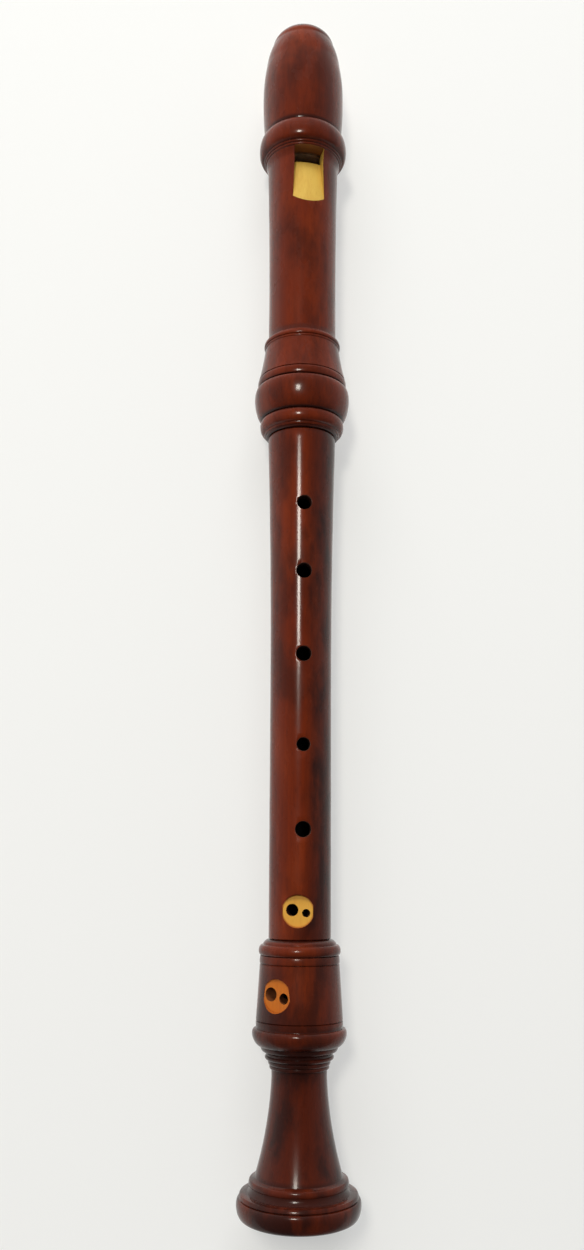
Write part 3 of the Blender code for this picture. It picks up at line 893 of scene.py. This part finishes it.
class RECORDER_OT_middle(bpy.types.Operator):
    """Turns the middle joint with its tenons, finger holes, thumb hole and double hole"""

    bl_idname = "recorder.middle"
    bl_label = "Middle Joint"

    def execute(self, context):
        turning, _, finish, _ = sizes(context)
        groups = wood_groups()
        tube = tube_outline(turning)
        upper_channel, upper_socket, lower_channel, lower_socket = tenon_sizes(turning)
        gap, inset = 0.3 * MM, turning.cork_inset
        # Painted shade: the wood darkens across the joint, towards the side turned from the light
        wood = stained_wood("middle_stained_wood", groups, finish, 0.0, 0.0, ("X", -1.0 * MM, 4.5 * MM, 0.5))
        bore = plain_wood("middle_oiled_bore", groups, finish.bore, BORE_DARK, 0.4)
        tenon = bare_wood(
            "tenon_wood", groups, finish, (finish.stain_rubbed, finish.stain), finish.bare_roughness
        )
        # Painted shade: the drilled walls of the finger holes are painted dark for the shade inside them
        wall = plain_wood("finger_hole_wall", groups, FINGER_HOLE_SHADE, BORE_DARK, 0.5)
        low, high = LOW_TENON_END, TOP_TENON_END
        below = [
            (turning.middle_bore_end, low + 0.4 * MM, 2),
            (turning.middle_bore_end + 0.4 * MM, low, 2),
            (lower_socket - gap - 0.4 * MM, low, 2),
            (lower_socket - gap, low + 0.4 * MM, 2),
            (lower_socket - gap, low + inset, 2),
            (lower_channel, low + inset, 2),
            (lower_channel, FOOT_RIM - inset, 2),
            (lower_socket - gap, FOOT_RIM - inset, 2),
            (lower_socket - gap, tube.points[0][1], 2),
        ]
        above = [
            (upper_socket - gap, tube.station, 2),
            (upper_socket - gap, HEAD_RIM + inset, 2),
            (upper_channel, HEAD_RIM + inset, 2),
            (upper_channel, high - inset, 2),
            (upper_socket - gap, high - inset, 2),
            (upper_socket - gap, high - 0.4 * MM, 2),
            (upper_socket - gap - 0.4 * MM, high, 2),
            (turning.middle_bore_top + 0.4 * MM, high, 1),
            (turning.middle_bore_top, high - 0.4 * MM, 1),
        ]
        rings = below + [(radius, along, 0) for radius, along in tube.points[:-1]]
        rings += [(tube.radius, tube.station, 2)] + above
        station = HEAD_RIM
        cutters = []
        for index, (spacing, diameter) in enumerate(FINGER_HOLES):
            station -= spacing * MM
            surface = tube.radius_at(station)
            name = f"finger_hole_{index + 1}"
            cutters.append(drill(name, station, 0, diameter * MM, surface, turning.hole_facets, wall))
        thumb = HEAD_RIM - 16.0 * MM
        surface = tube.radius_at(thumb)
        cutters.append(drill("thumb_hole", thumb, math.pi, 5.8 * MM, surface, turning.hole_facets, wall))
        station -= 29.8 * MM
        surface, turn = tube.radius_at(station), -9.4
        flat = flat_height(surface)
        honey = bare_wood(
            "middle_flat_wood",
            groups,
            finish,
            (finish.honey, HONEY_GRAIN),
            finish.bare_roughness,
            (disc_centre(station, math.radians(turn), flat), PAIR_FLAT / 2),
        )
        piece = spun("middle_joint_turned", rings, turning.facets, [wood, bore, tenon])
        pair = double_hole(
            "middle_pair", station, turn, MIDDLE_PAIR, surface, turning.hole_facets, (honey, wall)
        )
        carve(piece, cutters + pair)
        polish(piece, tube)
        dress(piece, "middle_joint", "middle")
        return {"FINISHED"}


def beak_cutter(voicing, name, finish):
    """The wide cylinder that hollows the back of the beak."""
    maker = bmesh.new()
    middle = Matrix.Translation((0, TIP, voicing.beak_tip - voicing.beak_hollow))
    bmesh.ops.create_cone(
        maker,
        cap_ends=True,
        segments=256,
        radius1=voicing.beak_hollow,
        radius2=voicing.beak_hollow,
        depth=55 * MM,
        matrix=middle @ Matrix.Rotation(math.pi / 2, 4, "Y"),
    )
    return object_of(name, maker, voicing.turn, [finish])


class RECORDER_OT_head(bpy.types.Operator):
    """Turns and voices the head joint: socket, rings, tube, beak, windway, window and ramp"""

    bl_idname = "recorder.head"
    bl_label = "Head Joint"

    def execute(self, context):
        turning, voicing, finish, _ = sizes(context)
        groups = wood_groups()
        outline, window_top = head_outline(turning)
        _, socket, _, _ = tenon_sizes(turning)
        wood = stained_wood(
            "head_stained_wood", groups, finish, 7.0, 0.02, ("Y", HIGH.y - 3 * MM, HIGH.y - 0.8 * MM, 0.9)
        )
        bore = plain_wood("head_oiled_bore", groups, finish.bore, BORE_DARK, 0.4)
        bare = bare_wood(
            "ramp_bare_wood",
            groups,
            finish,
            (finish.bare, finish.bare_grain),
            finish.bare_roughness,
            dark_from=LOW.y + window_top - 0.05 * MM,
        )
        wall = plain_wood("windway_wood", groups, finish.hole_wall, WINDWAY_DARK, 0.5)
        floor = TOP_TENON_END + JOINT_LINE
        rings = [(radius, along, 0) for radius, along in outline.points]
        bore_radius = turning.head_bore
        rings += [
            (bore_radius + 0.3 * MM, TIP, 1),
            (bore_radius, TIP - 0.3 * MM, 1),
            (bore_radius, floor, 1),
            (socket, floor, 1),
            (socket, HEAD_RIM + 0.35 * MM, 1),
            (socket + 0.35 * MM, HEAD_RIM, 0),
        ]
        piece = spun("head_joint_turned", rings, turning.facets, [wood, bore])
        half = voicing.width / 2
        low = bore_radius - 5 * MM
        over = 23 * MM
        edge_station = window_top - voicing.window
        roof = crowned(half, voicing.crown, bore_radius + voicing.roof) + [(half, low), (-half, low)]
        ends = (window_top - voicing.window / 2, TIP + 2 * MM)
        windway = lofted("windway", [(station, roof) for station in ends], voicing.turn, wall)
        half += 0.2 * MM
        profile = [
            (-half, low),
            (half, low),
            (half, bore_radius),
            (half + voicing.flare, over),
            (-half - voicing.flare, over),
            (-half, bore_radius),
        ]
        window = lofted("window", [(edge_station, profile), (window_top, profile)], voicing.turn, bare)
        edge = bore_radius + voicing.labium
        run_out = edge_station - voicing.ramp
        slope = (outline.radius_at(run_out) - edge) / voicing.ramp
        sections = []
        for station in (run_out - 4 * MM, window_top - voicing.window / 2):
            share = (edge_station - station) / voicing.ramp
            half = voicing.width / 2 + voicing.spread * share
            arc = crowned(half, voicing.crown, edge + slope * (edge_station - station))
            wide = half + voicing.flare * (1 - share / 2)
            sections.append((station, arc + [(wide, over), (-wide, over)]))
        ramp = lofted("ramp", sections, voicing.turn, bare)
        carve(piece, [windway, window, ramp, beak_cutter(voicing, "beak_cut", wood)])
        polish(piece, outline)
        dress(piece, "head_joint", "head")
        return {"FINISHED"}


class RECORDER_OT_block(bpy.types.Operator):
    """Shapes the cedar block that floors the windway"""

    bl_idname = "recorder.block"
    bl_label = "Block"

    def execute(self, context):
        turning, voicing, finish, _ = sizes(context)
        groups = wood_groups()
        _, window_top = head_outline(turning)
        cedar = plain_wood("cedar_wood_fine", groups, finish.cedar, CEDAR_GRAIN, 0.7, 450.0)
        radius = turning.head_bore - 0.3 * MM
        points = [
            (0, window_top, 0),
            (0.5 * MM, window_top, 0),
            (radius - 0.3 * MM, window_top, 0),
            (radius, window_top + 0.3 * MM, 0),
            (radius, TIP, 0),
            (0.5 * MM, TIP, 0),
            (0, TIP, 0),
        ]
        maker = bmesh.new()
        turned(maker, points, (0, 1, 0), turning.facets)
        bmesh.ops.recalc_face_normals(maker, faces=maker.faces)
        piece = object_of("block_fine", maker, voicing.turn, [cedar])
        wide, over = radius + MM, radius + 2 * MM
        arc = crowned(wide, 16 * MM, turning.head_bore - voicing.floor, 24) + [(wide, over), (-wide, over)]
        ends = (window_top - MM, TIP + MM)
        floor = lofted("block_floor", [(station, arc) for station in ends], voicing.turn, cedar)
        carve(piece, [floor, beak_cutter(voicing, "block_beak_cut", cedar)])
        piece.data.shade_smooth()
        piece.data.set_sharp_from_angle(angle=math.radians(CRISP))
        dress(piece, "block", "fipple")
        return {"FINISHED"}


class RECORDER_OT_corks(bpy.types.Operator):
    """Laps the sheet of cork round each tenon"""

    bl_idname = "recorder.corks"
    bl_label = "Cork Lappings"

    def execute(self, context):
        turning, _, finish, _ = sizes(context)
        cork = cork_sheet("cork_sheet_fine", finish)
        upper, _, lower, _ = tenon_sizes(turning)
        for name, body, channel in (
            ("upper_cork", "upper_lapping", upper),
            ("lower_cork", "lower_lapping", lower),
        ):
            low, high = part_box(name)
            start, end = low.y - LOW.y, high.y - LOW.y
            inner = channel + 0.3 * MM
            outer = inner + turning.cork
            ease = 0.25 * MM
            rings = [
                (inner, start, 0),
                (outer - ease, start, 0),
                (outer, start + ease, 0),
                (outer, end - ease, 0),
                (outer - ease, end, 0),
                (inner, end, 0),
            ]
            piece = spun(name + "_lapped", rings, turning.facets, [cork])
            piece.data.shade_smooth()
            piece.data.set_sharp_from_angle(angle=math.radians(50))
            dress(piece, name, body)
        return {"FINISHED"}


def table_material(stage):
    """Matt white paper, faintly clouded."""
    made, kit, shader, coordinates = new_material("white_table")
    cloud = kit.noise(coordinates, 2.5, 2.0)
    dark = tuple(channel * 0.965 for channel in stage.table)
    kit.join(kit.mix(cloud, tuple(stage.table), dark), shader.inputs["Base Color"])
    shader.inputs["Roughness"].default_value = 0.9
    shader.inputs["Specular IOR Level"].default_value = 0.2
    path = kit.add("ShaderNodeLightPath")
    seen = kit.math("MAXIMUM", path.outputs["Is Camera Ray"], path.outputs["Is Glossy Ray"])
    plain = kit.add("ShaderNodeEmission")
    plain.inputs["Color"].default_value = (*stage.table, 1)
    both = kit.add("ShaderNodeMixShader")
    kit.join(kit.math("MULTIPLY", seen, stage.soft_shadow), both.inputs[0])
    kit.join(shader.outputs[0], both.inputs[1])
    kit.join(plain.outputs[0], both.inputs[2])
    output = next(node for node in made.node_tree.nodes if node.type == "OUTPUT_MATERIAL")
    kit.join(both.outputs[0], output.inputs["Surface"])
    return made


def area_light(name, size, energy, aim, turns, distance, tint=(1, 1, 1), mirrored=True):
    """A rectangular soft light that faces a point from a distance, swung by two turns from overhead.

    One that isn't mirrored lights the part but leaves no glare on its polish.
    """
    light = bpy.data.lights.new(name, "AREA")
    light.shape = "RECTANGLE"
    light.size, light.size_y = size
    light.energy = energy
    light.color = tint
    lamp = bpy.data.objects.new(name, light)
    lamp.visible_glossy = mirrored
    across, along = (math.radians(turn) for turn in turns)
    towards = Matrix.Rotation(across, 4, "Y") @ Matrix.Rotation(along, 4, "X")
    lamp.matrix_world = Matrix.Translation(aim) @ towards @ Matrix.Translation((0, 0, distance))
    bpy.context.scene.collection.objects.link(lamp)


class RECORDER_OT_stage(bpy.types.Operator):
    """Lays the white table, and sets the camera, the two lamps and the light of the room"""

    bl_idname = "recorder.stage"
    bl_label = "Stage"

    def execute(self, context):
        _, _, _, stage = sizes(context)
        maker = bmesh.new()
        bmesh.ops.create_grid(maker, x_segments=4, y_segments=4, size=3.0)
        rise = math.atan2(HEAD_LIFT, REST_SPAN)
        middle = Vector((0, LOW.y + BELL_REST, 0))
        bmesh.ops.transform(
            maker,
            matrix=Matrix.Translation(middle) @ Matrix.Rotation(rise, 4, "X") @ Matrix.Translation(-middle),
            verts=maker.verts,
        )
        mesh = bpy.data.meshes.new("table")
        maker.to_mesh(mesh)
        maker.free()
        table = bpy.data.objects.new("table", mesh)
        mesh.materials.append(table_material(stage))
        context.scene.collection.objects.link(table)

        view = bpy.data.cameras.new("camera")
        view.sensor_fit = "VERTICAL"
        view.sensor_width = view.sensor_height = 36.0
        view.lens = stage.lens
        view.clip_start = 0.01
        camera = bpy.data.objects.new("camera", view)
        swung = place(-stage.camera_roll)
        spot = Matrix.Translation((-stage.camera_side, stage.camera_station, stage.camera_height))
        camera.matrix_world = (
            swung
            @ spot
            @ Matrix.Rotation(stage.camera_yaw, 4, "Z")
            @ Matrix.Rotation(stage.camera_tilt, 4, "X")
        )
        context.scene.collection.objects.link(camera)
        context.scene.camera = camera

        aim = Vector((0, 0, AXIS_HEIGHT))
        area_light(
            "ceiling_lamp",
            CEILING_SIZE,
            stage.lamp,
            aim,
            CEILING_TURNS,
            stage.lamp_distance,
            stage.lamp_colour,
        )
        area_light(
            "window_light",
            WINDOW_SIZE,
            stage.window,
            aim,
            WINDOW_TURNS,
            stage.window_distance,
            mirrored=False,
        )

        world = bpy.data.worlds.new("room_light")
        world.use_nodes = True
        background = world.node_tree.nodes["Background"]
        background.inputs["Color"].default_value = (1, 1, 1, 1)
        kit = NodeKit(world.node_tree)
        direction = kit.add("ShaderNodeSeparateXYZ")
        kit.join(kit.add("ShaderNodeTexCoord").outputs["Generated"], direction.inputs[0])
        low = kit.math("SUBTRACT", 1.0, direction.outputs["Z"])
        strength = kit.math("ADD", kit.math("MULTIPLY", low, stage.horizon), stage.sky)
        towards_head = kit.remap(direction.outputs["Y"], -0.8, 0.3, 0.35, 1.1)
        light = kit.math("MULTIPLY", strength, towards_head)
        seen = kit.add("ShaderNodeLightPath").outputs["Is Camera Ray"]
        kit.join(kit.math("MAXIMUM", light, seen), background.inputs["Strength"])
        context.scene.world = world
        context.scene.view_settings.view_transform = "Standard"
        return {"FINISHED"}


class RECORDER_PT_panel(bpy.types.Panel):
    """Lists the recorder's pieces in the sidebar"""

    bl_idname = "RECORDER_PT_panel"
    bl_label = "Alto Recorder"
    bl_space_type = "VIEW_3D"
    bl_region_type = "UI"
    bl_category = "Recorder"

    def draw(self, context):
        for piece in PIECES:
            self.layout.operator(piece.bl_idname)
        for name in GROUPS:
            group_values = getattr(context.scene, name)
            box = self.layout.box()
            for prop in group_values.bl_rna.properties:
                if prop.identifier not in ("rna_type", "name"):
                    box.prop(group_values, prop.identifier)


GROUPS = {
    "recorder_turning": RecorderTurning,
    "recorder_voicing": RecorderVoicing,
    "recorder_finish": RecorderFinish,
    "recorder_stage": RecorderStage,
}
PIECES = (
    RECORDER_OT_foot,
    RECORDER_OT_middle,
    RECORDER_OT_head,
    RECORDER_OT_block,
    RECORDER_OT_corks,
    RECORDER_OT_stage,
)


def register():
    for cls in (*GROUPS.values(), *PIECES, RECORDER_PT_panel):
        bpy.utils.register_class(cls)
    for name, cls in GROUPS.items():
        setattr(bpy.types.Scene, name, bpy.props.PointerProperty(type=cls))


def unregister():
    for name in GROUPS:
        delattr(bpy.types.Scene, name)
    for cls in reversed((*GROUPS.values(), *PIECES, RECORDER_PT_panel)):
        bpy.utils.unregister_class(cls)


def main():
    register()
    bpy.ops.recorder.foot()
    bpy.ops.recorder.middle()
    bpy.ops.recorder.head()
    bpy.ops.recorder.block()
    bpy.ops.recorder.corks()
    bpy.ops.recorder.stage()


if __name__ == "__main__":
    main()
